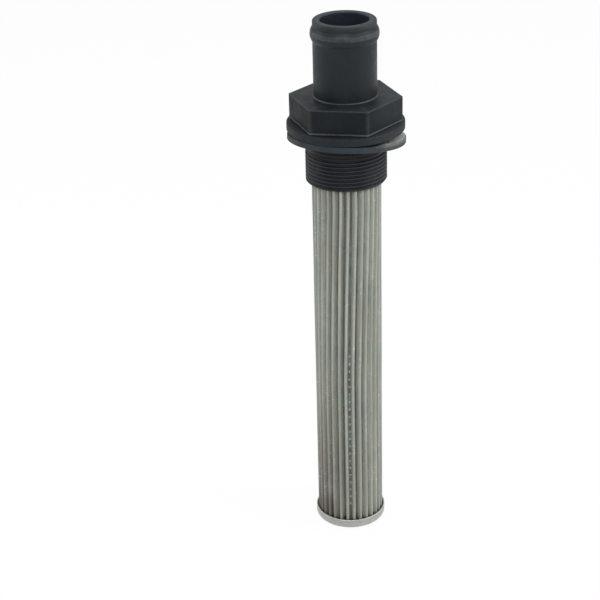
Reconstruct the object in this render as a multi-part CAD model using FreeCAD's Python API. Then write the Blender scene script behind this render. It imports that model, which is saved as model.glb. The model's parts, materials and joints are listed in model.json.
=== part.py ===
import FreeCAD, Part
import math
import os

# Suction strainer for an oil tank, in millimetres
# +Z is up along the axis, and z = 0 is the underside of the flange, which seals on the tank
# The hexagon has a flat towards -Y
# Rounded edges are turned as chamfers and the folds as a few chords, which keeps the facets few
BEAD_CHORDS = 2
CREST_CHORDS = 3
ROOT_CHORDS = 2

# Fitting: pipe thread, and its run-out inside the washer
THREAD_DIA = 47.803
THREAD_DEPTH = 1.479
THREAD_CHAMFER = 0.5
RUN_OUT_DEPTH = 0.5
SPIGOT_LENGTH = 31.4

# Fitting: socket that takes the upper end of the screen
SOCKET_WALL = 1.42
SOCKET_DEPTH = 17.4

# Fitting: flange, neck and hexagon
FLANGE_THICKNESS = 4.4
FLANGE_MARGIN = 1.2
FLANGE_CHAMFER = 1.2
NECK_HEIGHT = 0.8
NECK_UNDERCUT = 1.4
HEX_ACROSS_FLATS = 57.4
HEX_HEIGHT = 14.1
HEX_CORNER_ROUND = 1.3
HEX_EDGE_CHAMFER = 0.45

# Fitting: hose tail
TAIL_LENGTH = 44.7
TAIL_WALL = 4.05
TAIL_RIM_CHAMFER = 0.9
TAIL_BORE_CHAMFER = 0.6
BEAD_HEIGHT = 1.45
BEAD_BELOW_RIM = 8.0
BEAD_CONE_LENGTH = 5.4
BEAD_BACK_LENGTH = 4.3

# Sealing washer, hanging crooked under the flange
WASHER_THICKNESS = 3.4
WASHER_PLAY = 0.9
WASHER_OVERHANG = 0.2
WASHER_TILT = 7.5
WASHER_LOW_SIDE = 76.0
WASHER_SHIFT = 0.45
WASHER_SHIFT_SIDE = 8.0
WASHER_SEAT_GAP = 0.03
RUN_OUT_SPARE = 0.2

# Screen of pleated wire cloth
PLEAT_COUNT = 30
PLEAT_DEPTH = 5.0
CLOTH_THICKNESS = 0.36
CREST_FOLD = 0.66
ROOT_FOLD = 0.56
PLEAT_LEAN = 1.2
PLEAT_LEAN_STEP = 137.0
SEAM_DIRECTION = -81.6
SCREEN_TO_SOCKET = 0.45
SCREEN_VISIBLE = 226.25

# Perforated core tube inside the screen
CORE_WALL = 0.8
CORE_TO_SCREEN = 0.3
CORE_SEAT = 0.35
CORE_HOLE_WIDTH = 12.0
CORE_HOLE_PITCH = 30.0
CORE_HOLES_ROUND = 3
CORE_PLAIN_END = 18.0

# End cap pressed from sheet
CAP_HEIGHT = 6.25
CAP_SHEET = 0.8
CAP_TO_SCREEN = 0.55
CAP_EDGE_CHAMFER = 1.9
DISH_DEPTH = 1.8
DISH_WALL_ANGLE = 55.0
DISH_TO_CORE = 0.4

# Potting adhesive over the cloth's upper end
UPPER_POTTING = 1.3

# Places along the axis
SPIGOT_END_Z = -SPIGOT_LENGTH
SOCKET_CEILING_Z = SPIGOT_END_Z + SOCKET_DEPTH
NECK_Z = FLANGE_THICKNESS
HEX_BOTTOM_Z = NECK_Z + NECK_HEIGHT
HEX_TOP_Z = HEX_BOTTOM_Z + HEX_HEIGHT
TAIL_TOP_Z = HEX_TOP_Z + TAIL_LENGTH
BEAD_Z = TAIL_TOP_Z - BEAD_BELOW_RIM
CAP_RIM_Z = SPIGOT_END_Z - SCREEN_VISIBLE
CAP_BOTTOM_Z = CAP_RIM_Z - CAP_HEIGHT
CAP_FLOOR_Z = CAP_BOTTOM_Z + CAP_SHEET
SCREEN_TOP_Z = SOCKET_CEILING_Z - UPPER_POTTING

# Radii, from the thread inwards
THREAD_R = THREAD_DIA / 2
THREAD_ROOT_R = THREAD_R - THREAD_DEPTH
RUN_OUT_R = THREAD_R - RUN_OUT_DEPTH
SOCKET_R = THREAD_ROOT_R - SOCKET_WALL
SCREEN_R = SOCKET_R - SCREEN_TO_SOCKET
SCREEN_ROOT_R = SCREEN_R - PLEAT_DEPTH
CORE_R = SCREEN_ROOT_R - CORE_TO_SCREEN
CORE_BORE_R = CORE_R - CORE_WALL
BORE_R = CORE_BORE_R - CORE_SEAT
TAIL_R = BORE_R + TAIL_WALL
BEAD_R = TAIL_R + BEAD_HEIGHT
HEX_CORNER_R = HEX_ACROSS_FLATS / 2 / math.cos(math.pi / 6)
FLANGE_R = HEX_CORNER_R + FLANGE_MARGIN
NECK_R = HEX_ACROSS_FLATS / 2 - NECK_UNDERCUT
CAP_BORE_R = SCREEN_R + CAP_TO_SCREEN
CAP_R = CAP_BORE_R + CAP_SHEET
WASHER_BORE_R = THREAD_R + WASHER_PLAY
WASHER_R = FLANGE_R + WASHER_OVERHANG

# The cap's edge is bevelled at 45 degrees, and adhesive fills the cap to the top of the bevel
CAP_INNER_CHAMFER = CAP_EDGE_CHAMFER - CAP_SHEET * math.tan(math.pi / 8)
SCREEN_BOTTOM_Z = CAP_FLOOR_Z + CAP_INNER_CHAMFER

# The thread is cut to its full diameter below the washer's low side
TILT = math.radians(WASHER_TILT)
WASHER_SINK = WASHER_R * math.sin(TILT) + WASHER_SEAT_GAP
WASHER_LOW_Z = -WASHER_SINK - WASHER_R * math.sin(TILT) - WASHER_THICKNESS * math.cos(TILT)
FULL_THREAD_Z = WASHER_LOW_Z - RUN_OUT_SPARE

AXIS_START = FreeCAD.Vector(0, 0, 0)
UP = FreeCAD.Vector(0, 0, 1)


def point(radius, z):
    """Point of a profile, in the plane through the axis and +X."""
    return FreeCAD.Vector(radius, 0, z)


def polar(radius, angle):
    """Point at a distance from the axis and an angle in degrees from +X, in the plane z = 0."""
    turn = math.radians(angle)
    return FreeCAD.Vector(radius * math.cos(turn), radius * math.sin(turn), 0)


def turned_outline(points):
    """Solid of revolution of a closed outline."""
    face = Part.Face(Part.makePolygon(points + points[:1]))
    return face.revolve(AXIS_START, UP, 360)


def tube(outer_radius, inner_radius, bottom, top):
    """Straight round tube between two heights."""
    base = FreeCAD.Vector(0, 0, bottom)
    outside = Part.makeCylinder(outer_radius, top - bottom, base, UP)
    return outside.cut(Part.makeCylinder(inner_radius, top - bottom, base, UP))


def bead_back():
    """Points of the bead's back, an arc from the tail's wall to the bead's widest ring."""
    radius = (BEAD_BACK_LENGTH ** 2 + BEAD_HEIGHT ** 2) / (2 * BEAD_HEIGHT)
    centre = point(BEAD_R - radius, BEAD_Z)
    turn = math.asin(BEAD_BACK_LENGTH / radius)
    points = []
    for step in range(BEAD_CHORDS + 1):
        angle = turn * (step / BEAD_CHORDS - 1)
        points.append(centre + point(radius * math.cos(angle), radius * math.sin(angle)))
    return points


def hose_tail():
    """Solid tail with a chamfered rim, and a bead with a rounded back and a lead-in cone."""
    return turned_outline([
        point(0, HEX_BOTTOM_Z),
        point(TAIL_R, HEX_BOTTOM_Z),
        *bead_back(),
        point(TAIL_R, BEAD_Z + BEAD_CONE_LENGTH),
        point(TAIL_R, TAIL_TOP_Z - TAIL_RIM_CHAMFER),
        point(TAIL_R - TAIL_RIM_CHAMFER, TAIL_TOP_Z),
        point(0, TAIL_TOP_Z),
    ])


def hexagon():
    """Hexagon with rounded corners and chamfered edges, standing on a narrower neck."""
    corners = []
    for side in range(6):
        corner = polar(HEX_CORNER_R, 60 * side)
        corners.append(corner + FreeCAD.Vector(0, 0, HEX_BOTTOM_Z))
    outline = Part.makePolygon(corners + corners[:1])
    prism = Part.Face(outline).extrude(FreeCAD.Vector(0, 0, HEX_HEIGHT))
    upright = [edge for edge in prism.Edges if abs(edge.tangentAt(edge.FirstParameter).z) > 0.5]
    prism = prism.makeFillet(HEX_CORNER_ROUND, upright)
    level = [edge for edge in prism.Edges if edge.BoundBox.ZLength < 0.001]
    prism = prism.makeChamfer(HEX_EDGE_CHAMFER, level)
    neck_base = FreeCAD.Vector(0, 0, 0)
    neck = Part.makeCylinder(NECK_R, HEX_BOTTOM_Z + HEX_HEIGHT / 2, neck_base, UP)
    return prism.fuse(neck)


def flange():
    """Round flange with a chamfered upper edge."""
    return turned_outline([
        point(0, 0),
        point(FLANGE_R, 0),
        point(FLANGE_R, FLANGE_THICKNESS - FLANGE_CHAMFER),
        point(FLANGE_R - FLANGE_CHAMFER, FLANGE_THICKNESS),
        point(0, FLANGE_THICKNESS),
    ])


def spigot():
    """Spigot at the thread's crest diameter, a little thinner where the thread runs out."""
    return turned_outline([
        point(0, 0),
        point(0, SPIGOT_END_Z),
        point(THREAD_R - THREAD_CHAMFER, SPIGOT_END_Z),
        point(THREAD_R, SPIGOT_END_Z + THREAD_CHAMFER),
        point(THREAD_R, FULL_THREAD_Z),
        point(RUN_OUT_R, FULL_THREAD_Z + RUN_OUT_DEPTH),
        point(RUN_OUT_R, 0),
    ])


def through_bore():
    """Space inside the fitting: the tail's bore, wider at its mouth, and the screen's socket."""
    return turned_outline([
        point(0, SPIGOT_END_Z),
        point(SOCKET_R, SPIGOT_END_Z),
        point(SOCKET_R, SOCKET_CEILING_Z),
        point(BORE_R, SOCKET_CEILING_Z),
        point(BORE_R, TAIL_TOP_Z - TAIL_BORE_CHAMFER),
        point(BORE_R + TAIL_BORE_CHAMFER, TAIL_TOP_Z),
        point(0, TAIL_TOP_Z),
    ])


def fitting_body():
    """Moulded fitting in one piece."""
    solid = flange().fuse([hexagon(), hose_tail(), spigot()])
    return solid.cut(through_bore()).removeSplitter()


def sealing_washer():
    """Flat washer, tilted and shifted, with its high side close to the flange."""
    ring = tube(WASHER_R, WASHER_BORE_R, -WASHER_THICKNESS, 0)
    ring.rotate(AXIS_START, FreeCAD.Vector(0, 1, 0), WASHER_TILT)
    ring.rotate(AXIS_START, UP, WASHER_LOW_SIDE)
    ring.translate(polar(WASHER_SHIFT, WASHER_SHIFT_SIDE) - WASHER_SINK * UP)
    return ring


def pleat_centres():
    """Centres of the folds, in turn round the axis from the seam: a root, then a crest."""
    pitch = 360 / PLEAT_COUNT
    crest_centre_r = SCREEN_R - CREST_FOLD - CLOTH_THICKNESS / 2
    root_centre_r = SCREEN_ROOT_R + ROOT_FOLD + CLOTH_THICKNESS / 2
    centres = []
    for pleat in range(PLEAT_COUNT):
        start = SEAM_DIRECTION + pitch * pleat
        lean = PLEAT_LEAN * math.sin(math.radians(PLEAT_LEAN_STEP * pleat))
        centres.append(("root", polar(root_centre_r, start)))
        centres.append(("crest", polar(crest_centre_r, start + pitch / 2 + lean)))
    return centres


def flank_direction(start, end, radii, start_kind):
    """Direction of the straight flank that touches two folds on their opposite sides."""
    span = end - start
    swing = math.asin(radii / span.Length)
    if start_kind == "root":
        swing = -swing
    turn = math.atan2(span.y, span.x) + swing
    return FreeCAD.Vector(math.cos(turn), math.sin(turn), 0)


def right_of(direction):
    return FreeCAD.Vector(direction.y, -direction.x, 0)


def fold_points(kind, centre, arriving, leaving, offset):
    """Points of one fold, at an offset outwards from the middle of the cloth."""
    start = math.degrees(math.atan2(arriving.y, arriving.x))
    turn = (math.degrees(math.atan2(leaving.y, leaving.x)) - start) % 360
    reach = CREST_FOLD + offset
    chords = CREST_CHORDS
    # A crest turns left, and a root turns right on the other side of its centre
    if kind == "root":
        turn = turn - 360
        reach = offset - ROOT_FOLD
        chords = ROOT_CHORDS
    return [centre + polar(reach, start + turn * step / chords) for step in range(chords + 1)]


def pleat_outline(offset):
    """Closed outline of the pleats, at an offset outwards from the middle of the cloth."""
    centres = pleat_centres()
    flanks = []
    for index, (kind, centre) in enumerate(centres):
        next_centre = centres[(index + 1) % len(centres)][1]
        flanks.append(flank_direction(centre, next_centre, CREST_FOLD + ROOT_FOLD, kind))
    points = []
    for index, (kind, centre) in enumerate(centres):
        arriving = right_of(flanks[index - 1])
        leaving = right_of(flanks[index])
        points.extend(fold_points(kind, centre, arriving, leaving, offset))
    return Part.makePolygon(points + points[:1])


def pleated_mesh():
    """Wire cloth folded into pleats, as one closed wall."""
    outer = Part.Face(pleat_outline(CLOTH_THICKNESS / 2))
    inner = Part.Face(pleat_outline(-CLOTH_THICKNESS / 2))
    section = outer.cut(inner)
    section.translate(FreeCAD.Vector(0, 0, SCREEN_BOTTOM_Z))
    return section.extrude(FreeCAD.Vector(0, 0, SCREEN_TOP_Z - SCREEN_BOTTOM_Z))


def core_hole(row_z, angle):
    """Drill for one hexagonal hole, two of its sides along the tube."""
    direction = polar(1, angle)
    sideways = UP.cross(direction)
    corner_r = CORE_HOLE_WIDTH / 2 / math.cos(math.pi / 6)
    corners = []
    for side in range(6):
        turn = math.radians(60 * side + 30)
        corner = sideways * (corner_r * math.cos(turn)) + UP * (row_z + corner_r * math.sin(turn))
        corners.append(corner)
    outline = Part.makePolygon(corners + corners[:1])
    return Part.Face(outline).extrude(direction * (2 * CORE_R))


def core_tube():
    """Tube with staggered rows of holes between two plain ends."""
    wall = tube(CORE_R, CORE_BORE_R, CAP_FLOOR_Z, SOCKET_CEILING_Z)
    length = SOCKET_CEILING_Z - CAP_FLOOR_Z
    rows = int((length - 2 * CORE_PLAIN_END) // CORE_HOLE_PITCH) + 1
    first_row = (CAP_FLOOR_Z + SOCKET_CEILING_Z) / 2 - CORE_HOLE_PITCH * (rows - 1) / 2
    step = 360 / CORE_HOLES_ROUND
    drills = []
    for row in range(rows):
        stagger = step / 2 * (row % 2)
        for hole in range(CORE_HOLES_ROUND):
            drills.append(core_hole(first_row + CORE_HOLE_PITCH * row, step * hole + stagger))
    return wall.cut(Part.makeCompound(drills))


def upper_potting():
    """Ring of adhesive on the socket's ceiling, round the core tube and over the cloth's end."""
    return tube(SOCKET_R, CORE_R, SCREEN_TOP_Z, SOCKET_CEILING_Z)


def lower_potting():
    """Ring of adhesive on the cap's floor, level with the top of the cap's bend."""
    return turned_outline([
        point(CORE_R, CAP_FLOOR_Z),
        point(CAP_BORE_R - CAP_INNER_CHAMFER, CAP_FLOOR_Z),
        point(CAP_BORE_R, SCREEN_BOTTOM_Z),
        point(CORE_R, SCREEN_BOTTOM_Z),
    ])


def end_cap():
    """Shallow cup of even sheet with a bevelled edge and a round recess in its outside."""
    turn = math.radians(DISH_WALL_ANGLE)
    run = DISH_DEPTH / math.tan(turn)
    # The sheet keeps its thickness through the bend, so its inside corner lies further out
    bend = CAP_SHEET * math.tan(turn / 2)
    inside_r = CORE_BORE_R - DISH_TO_CORE
    outside_r = inside_r - bend
    return turned_outline([
        point(CAP_BORE_R, CAP_RIM_Z),
        point(CAP_R, CAP_RIM_Z),
        point(CAP_R, CAP_BOTTOM_Z + CAP_EDGE_CHAMFER),
        point(CAP_R - CAP_EDGE_CHAMFER, CAP_BOTTOM_Z),
        point(outside_r, CAP_BOTTOM_Z),
        point(outside_r - run, CAP_BOTTOM_Z + DISH_DEPTH),
        point(0, CAP_BOTTOM_Z + DISH_DEPTH),
        point(0, CAP_FLOOR_Z + DISH_DEPTH),
        point(inside_r - run, CAP_FLOOR_Z + DISH_DEPTH),
        point(inside_r, CAP_FLOOR_Z),
        point(CAP_BORE_R - CAP_INNER_CHAMFER, CAP_FLOOR_Z),
        point(CAP_BORE_R, CAP_FLOOR_Z + CAP_INNER_CHAMFER),
    ])


def save(name, shape):
    """Writes one piece, after a look that it is whole."""
    print(name, "solids", len(shape.Solids), "valid", shape.isValid(), "volume", round(shape.Volume))
    shape.exportStep("parts/" + name + ".step")


os.makedirs("parts", exist_ok=True)
save("fitting_body", fitting_body())
save("sealing_washer", sealing_washer())
save("pleated_mesh", pleated_mesh())
save("core_tube", core_tube())
save("upper_potting", upper_potting())
save("lower_potting", lower_potting())
save("end_cap", end_cap())
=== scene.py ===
"""Suction strainer for an oil tank: the looks of its fitting, washer, pleated screen and cap."""

import json
import logging
import math
from dataclasses import dataclass
from enum import Enum
from functools import cached_property

import bmesh
import bpy
from mathutils import Matrix, Vector, noise


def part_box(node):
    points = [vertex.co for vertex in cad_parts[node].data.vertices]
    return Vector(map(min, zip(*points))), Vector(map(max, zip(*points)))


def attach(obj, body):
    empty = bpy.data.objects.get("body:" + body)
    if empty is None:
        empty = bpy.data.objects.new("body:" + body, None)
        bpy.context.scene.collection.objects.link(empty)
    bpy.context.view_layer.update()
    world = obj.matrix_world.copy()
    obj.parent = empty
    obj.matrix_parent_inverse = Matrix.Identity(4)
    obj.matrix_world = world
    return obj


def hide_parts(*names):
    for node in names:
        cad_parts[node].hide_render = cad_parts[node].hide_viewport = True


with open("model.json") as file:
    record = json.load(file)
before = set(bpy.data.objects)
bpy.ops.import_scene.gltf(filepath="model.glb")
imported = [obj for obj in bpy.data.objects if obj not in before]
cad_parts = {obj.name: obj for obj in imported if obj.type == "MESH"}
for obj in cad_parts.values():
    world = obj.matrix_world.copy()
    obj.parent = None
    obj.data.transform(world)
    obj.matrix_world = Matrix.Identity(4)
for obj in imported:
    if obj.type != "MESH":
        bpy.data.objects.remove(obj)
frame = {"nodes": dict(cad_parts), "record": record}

MM = 0.001
WELD = 0.000001
HEX_TURN = math.tau / 6
COLOUR_A, COLOUR_B, COLOUR_MIXED = 6, 7, 2
BODY = "root"
LOG = logging.getLogger("strainer")

Colour = tuple[float, float, float]
Span = tuple[float, float]
Fade = tuple[float, float, float, float]
Grain = tuple[float, float, float]
Bmesh = bmesh.types.BMesh
Node = bpy.types.Node
Socket = bpy.types.NodeSocket
Value = float | Socket


class RingKind(Enum):
    """How a ring of the turned fitting is shaped after it has been turned."""

    ROUND = "round"
    HEXAGON = "hexagon"
    THREAD = "thread"


@dataclass(frozen=True)
class Ring:
    """One point of a section: its radius, its height, its kind and how much it is an edge."""

    radius: float
    height: float
    kind: RingKind = RingKind.ROUND
    edge: float = 0.0


def arc_rings(
    centre: Span, radius: float, start: float, end: float, steps: int,
    kind: RingKind = RingKind.ROUND, edge: float = 0.0,
) -> list[Ring]:
    """Makes the rings of a rounded edge.

    Args:
        centre: Radius and height of the arc's centre.
        radius: Radius of the arc itself.
        start: First angle, in degrees from outwards towards up.
        end: Last angle.
        steps: Number of faces across the arc.
        kind: Kind of every ring of the arc.
        edge: How much the arc counts as an edge that wears.

    Returns:
        The rings in order, ends included.
    """
    rings = []
    for step in range(steps + 1):
        turn = math.radians(start + (end - start) * step / steps)
        place = (centre[0] + radius * math.cos(turn), centre[1] + radius * math.sin(turn))
        rings.append(Ring(*place, kind, edge))
    return rings


def mount_size(mount: str, size: str) -> float:
    """Reads a size of one of the record's mounts, in metres."""
    sizes = {entry["name"]: entry["dims"] for entry in frame["record"]["mounts"]}
    return sizes[mount][size] * MM


def around(angle: float, radius: float = 1.0) -> Vector:
    """Place at an angle round the axis and a distance from it."""
    return radius * Vector((math.cos(angle), math.sin(angle)))


def angle_of(place: Vector) -> float:
    """Angle of a place round the axis."""
    return math.atan2(place.y, place.x)


def clamped(value: float) -> float:
    """A value kept between 0 and 1."""
    return min(max(value, 0.0), 1.0)


def wobble(*place: float) -> float:
    """Smooth noise, about -1 to 1, at three coordinates."""
    return noise.noise(Vector(place))


def turn_section(rings: list[Ring], columns: int, closed: bool) -> Bmesh:
    """Turns a section once round the axis.

    Args:
        rings: The section's points in order.
        columns: Number of faces round the axis.
        closed: Whether the last point is joined to the first.

    Returns:
        A bmesh whose vertices carry the layers "ring" and "edge".
    """
    shell = bmesh.new()
    ring_layer = shell.verts.layers.int.new("ring")
    edge_layer = shell.verts.layers.float.new("edge")
    verts = []
    for index, ring in enumerate(rings):
        vert = shell.verts.new((ring.radius, 0, ring.height))
        vert[ring_layer] = index
        vert[edge_layer] = ring.edge
        verts.append(vert)
    pairs = list(zip(verts, verts[1:]))
    if closed:
        pairs.append((verts[-1], verts[0]))
    edges = [shell.edges.new(pair) for pair in pairs]
    bmesh.ops.spin(
        shell, geom=verts + edges, cent=(0, 0, 0), axis=(0, 0, 1), angle=math.tau, steps=columns,
        use_merge=True,
    )
    bmesh.ops.remove_doubles(shell, verts=shell.verts, dist=WELD)
    bmesh.ops.recalc_face_normals(shell, faces=shell.faces)
    return shell


@dataclass
class Wiring:
    """Short ways to add and join the nodes of one tree."""

    tree: bpy.types.NodeTree

    def feed(self, target: Socket, source: Value | Colour) -> None:
        """Joins a socket to another one, or sets it to a plain value.

        Args:
            target: The input socket.
            source: An output socket, a number or a colour.
        """
        if isinstance(source, Socket):
            self.tree.links.new(source, target)
        elif target.type == "RGBA":
            target.default_value = (*source, 1.0)
        else:
            target.default_value = source

    def add(
        self, kind: str, inputs: dict[int | str, Value | Colour] | None = None, **settings: object
    ) -> Node:
        """Adds a node.

        Args:
            kind: The node's type name.
            inputs: What feeds its inputs, by name or number.
            settings: Properties to set on it before that.

        Returns:
            The new node.
        """
        made = self.tree.nodes.new(kind)
        for key, setting in settings.items():
            setattr(made, key, setting)
        for key, source in (inputs or {}).items():
            self.feed(made.inputs[key], source)
        return made

    def maths(self, operation: str, *values: Value, clamp: bool = False) -> Socket:
        """Result of a Math node with these values, kept between 0 and 1 if clamp is set."""
        inputs = dict(enumerate(values))
        return self.add("ShaderNodeMath", inputs, operation=operation, use_clamp=clamp).outputs[0]

    def times(self, first: Value, second: Value, clamp: bool = False) -> Socket:
        """Product of two values, kept between 0 and 1 if clamp is set."""
        return self.maths("MULTIPLY", first, second, clamp=clamp)

    def share(self, first: Value, second: Value, part: float) -> Socket:
        """Sum of two values, of which the second one has the share part."""
        return self.maths("MULTIPLY_ADD", second, part, self.times(first, 1 - part))

    def ramp(self, source: Value, low: float, high: float, *results: float) -> Socket:
        """Maps a value smoothly from low and high to two results, or else to 0 and 1."""
        inputs = dict(enumerate((source, low, high, *(results or (0.0, 1.0)))))
        return self.add("ShaderNodeMapRange", inputs, interpolation_type="SMOOTHSTEP").outputs[0]

    def tint(self, factor: Value, first: Value | Colour, second: Value | Colour) -> Socket:
        """The first colour, mixed with the second one by a factor."""
        inputs = {"Factor": factor, COLOUR_A: first, COLOUR_B: second}
        return self.add("ShaderNodeMix", inputs, data_type="RGBA").outputs[COLOUR_MIXED]

    def parts(self, vector: Socket) -> list[Socket]:
        """The three parts of a vector."""
        return list(self.add("ShaderNodeSeparateXYZ", {0: vector}).outputs)

    def joined(self, *parts: Value) -> Socket:
        """A vector made of its parts."""
        return self.add("ShaderNodeCombineXYZ", dict(enumerate(parts))).outputs[0]

    def clouds(self, place: Value, scale: Value, detail: float, roughness: float) -> Socket:
        """Noise at a place, about 0.5 on average, with octaves and their weight."""
        inputs = {"Vector": place, "Scale": scale, "Detail": detail, "Roughness": roughness}
        return self.add("ShaderNodeTexNoise", inputs).outputs["Fac"]

    def bump(self, height: Value, distance: float, strength: float) -> Socket:
        """Normal of a height from 0 to 1, whose full depth is a distance in metres."""
        inputs = {"Height": height, "Distance": distance, "Strength": strength}
        return self.add("ShaderNodeBump", inputs).outputs[0]

    def group(self, tree: bpy.types.NodeTree, **values: Value) -> Node:
        """Places a node group, with its inputs' values by name."""
        return self.add("ShaderNodeGroup", values, node_tree=tree)

    def mix_shaders(self, factor: Value, first: Socket, second: Socket) -> Socket:
        """The first shader, mixed with the second one by a factor."""
        return self.add("ShaderNodeMixShader", {0: factor, 1: first, 2: second}).outputs[0]


class GroupWiring(Wiring):
    """Wiring of a new node group, whose results are all values."""

    def __init__(
        self, name: str, vectors: tuple[str, ...], values: tuple[str, ...],
        results: tuple[str, ...],
    ) -> None:
        """Makes the group and its sockets.

        Args:
            name: The group's name.
            vectors: Names of its vector inputs.
            values: Names of its value inputs.
            results: Names of its outputs.
        """
        super().__init__(bpy.data.node_groups.new(name, "ShaderNodeTree"))
        sockets = (("INPUT", "Vector", vectors), ("INPUT", "Float", values),
                   ("OUTPUT", "Float", results))
        for in_out, kind, names in sockets:
            for socket in names:
                self.tree.interface.new_socket(
                    socket, in_out=in_out, socket_type="NodeSocket" + kind
                )
        start = self.add("NodeGroupInput")
        self.given = [start.outputs[socket] for socket in (*vectors, *values)]
        self.end = self.add("NodeGroupOutput")

    def close(self, *results: Socket) -> bpy.types.NodeTree:
        """Joins the results to the group's outputs, and gives its tree.

        Args:
            results: The results, in the order of the outputs.

        Returns:
            The finished group.
        """
        for target, source in zip(self.end.inputs, results):
            self.feed(target, source)
        return self.tree


@dataclass
class EffectShelf:
    """The effects that several finishes share, each built once as a node group.

    A noise is its number of octaves and their weight. A ratio is a scale, set against the
    effect's own one.
    """

    broad_noise: Span = (2.0, 0.5)
    finer_noise: Span = (3.0, 0.6)
    finer_ratio: float = 5.3
    finer_share: float = 0.45
    blotch_span: Span = (0.36, 0.64)
    grain_noise: Span = (3.0, 0.65)
    plain_noise: Span = (1.0, 0.5)
    coarse_ratio: float = 0.22
    coarse_share: float = 0.5
    streak_span: Span = (0.34, 0.66)
    wear_noise: Span = (4.0, 0.7)
    wear_fade: Fade = (0.34, 0.62, 0.6, 1.0)
    dash_squeeze: float = 3.2
    dash_span: Span = (0.6, 0.74)
    patch_ratio: float = 0.12
    patch_span: Span = (0.42, 0.68)
    glint_strength: float = 0.8
    wire_swing: float = 0.5
    weave_span: Span = (-0.1, 1.5)
    gap_span: Span = (0.24, 0.34)

    @cached_property
    def mottle(self) -> bpy.types.NodeTree:
        """Soft blotches of two sizes."""
        group = GroupWiring("mottle", ("Place",), ("Scale",), ("Blotch",))
        place, scale = group.given
        broad = group.clouds(place, scale, *self.broad_noise)
        finer = group.clouds(place, group.times(scale, self.finer_ratio), *self.finer_noise)
        both = group.share(broad, finer, self.finer_share)
        return group.close(group.ramp(both, *self.blotch_span))

    @cached_property
    def grain(self) -> bpy.types.NodeTree:
        """Fine grain of a moulded or pressed skin."""
        group = GroupWiring("grain", ("Place",), ("Scale",), ("Height",))
        place, scale = group.given
        fine = group.clouds(place, scale, *self.grain_noise)
        coarse = group.clouds(place, group.times(scale, self.coarse_ratio), *self.plain_noise)
        return group.close(group.share(fine, coarse, self.coarse_share))

    @cached_property
    def streaks(self) -> bpy.types.NodeTree:
        """Long uneven streaks along the axis."""
        group = GroupWiring("streaks", ("Place",), ("Scale", "Stretch"), ("Streak",))
        place, scale, stretch = group.given
        side, back, height = group.parts(place)
        squeezed = group.joined(side, back, group.times(height, stretch))
        lines = group.clouds(squeezed, scale, *self.finer_noise)
        return group.close(group.ramp(lines, *self.streak_span))

    @cached_property
    def edge_wear(self) -> bpy.types.NodeTree:
        """Uneven rubbing and painted highlight along the edges that the mesh marks."""
        group = GroupWiring("edge_wear", ("Place",), ("Scale", "Edge"), ("Worn",))
        place, scale, edge = group.given
        broken = group.ramp(group.clouds(place, scale, *self.wear_noise), *self.wear_fade)
        return group.close(group.times(edge, broken, clamp=True))

    @cached_property
    def glints(self) -> bpy.types.NodeTree:
        """Sparse bright dashes where single wires catch the light, from cloth coordinates."""
        group = GroupWiring("glints", ("Cloth",), ("Scale",), ("Glint",))
        cloth, scale = group.given
        across, along, _ = group.parts(cloth)
        dashed = group.joined(across, group.times(along, self.dash_squeeze))
        fine = group.clouds(dashed, scale, *self.plain_noise)
        patches = group.clouds(cloth, group.times(scale, self.patch_ratio), *self.broad_noise)
        sparse = group.ramp(patches, *self.patch_span)
        glint = group.times(group.ramp(fine, *self.dash_span), sparse)
        return group.close(group.times(glint, self.glint_strength))

    @cached_property
    def plain_weave(self) -> bpy.types.NodeTree:
        """Plain woven wire, from coordinates along the cloth and across it.

        The weft goes under where the warp goes over, so its swing is the other way.
        """
        group = GroupWiring("plain_weave", ("Cloth",), ("Pitch",), ("Height", "Gap"))
        cloth, pitch = group.given
        across, up, _ = (group.maths("DIVIDE", part, pitch) for part in group.parts(cloth))
        heights, distances = [], []
        for beside, along, swing in (
            (across, up, self.wire_swing), (up, across, -self.wire_swing)
        ):
            wire = group.maths("ROUND", beside)
            distance = group.maths("ABSOLUTE", group.maths("SUBTRACT", beside, wire))
            phase = group.times(group.maths("ADD", along, wire), math.pi)
            section = group.maths("COSINE", group.times(distance, math.pi))
            swung = group.times(group.maths("COSINE", phase), swing)
            heights.append(group.maths("ADD", swung, section))
            distances.append(distance)
        height = group.ramp(group.maths("MAXIMUM", *heights), *self.weave_span)
        return group.close(height, group.ramp(group.maths("MINIMUM", *distances), *self.gap_span))


SHELF = EffectShelf()


class Surface(Wiring):
    """Wiring of a new material, with what most finishes start from."""

    def __init__(self, name: str) -> None:
        """Makes the material.

        Args:
            name: The material's name.
        """
        self.made = bpy.data.materials.new(name)
        self.made.use_nodes = True
        super().__init__(self.made.node_tree)
        self.shader = self.tree.nodes["Principled BSDF"]
        self.place = self.add("ShaderNodeTexCoord").outputs["Object"]

    def effect(self, tree: bpy.types.NodeTree, **values: Value) -> Socket:
        """Result of an effect that follows the Object coordinates."""
        return self.group(tree, Place=self.place, **values).outputs[0]

    def mark(self, name: str) -> Socket:
        """Value that the mesh stores under a name."""
        return self.add("ShaderNodeAttribute", attribute_name=name).outputs["Fac"]

    def edge_wear_and_highlight(self, scale: float) -> Socket:
        """Mask of the worn edges and painted edge highlights, broken up at a scale."""
        return self.effect(SHELF.edge_wear, Edge=self.mark("edge"), Scale=scale)

    def grained(self, scale: float, depth: float, strength: float) -> Socket:
        """Normal of a grain with a scale per metre, a depth in metres and a strength."""
        return self.bump(self.effect(SHELF.grain, Scale=scale), depth, strength)

    def close(self, inputs: dict[str, Value | Colour]) -> bpy.types.Material:
        """Feeds the shader.

        Args:
            inputs: What feeds its inputs, by name.

        Returns:
            The finished material.
        """
        for name, source in inputs.items():
            self.feed(self.shader.inputs[name], source)
        return self.made


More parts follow.
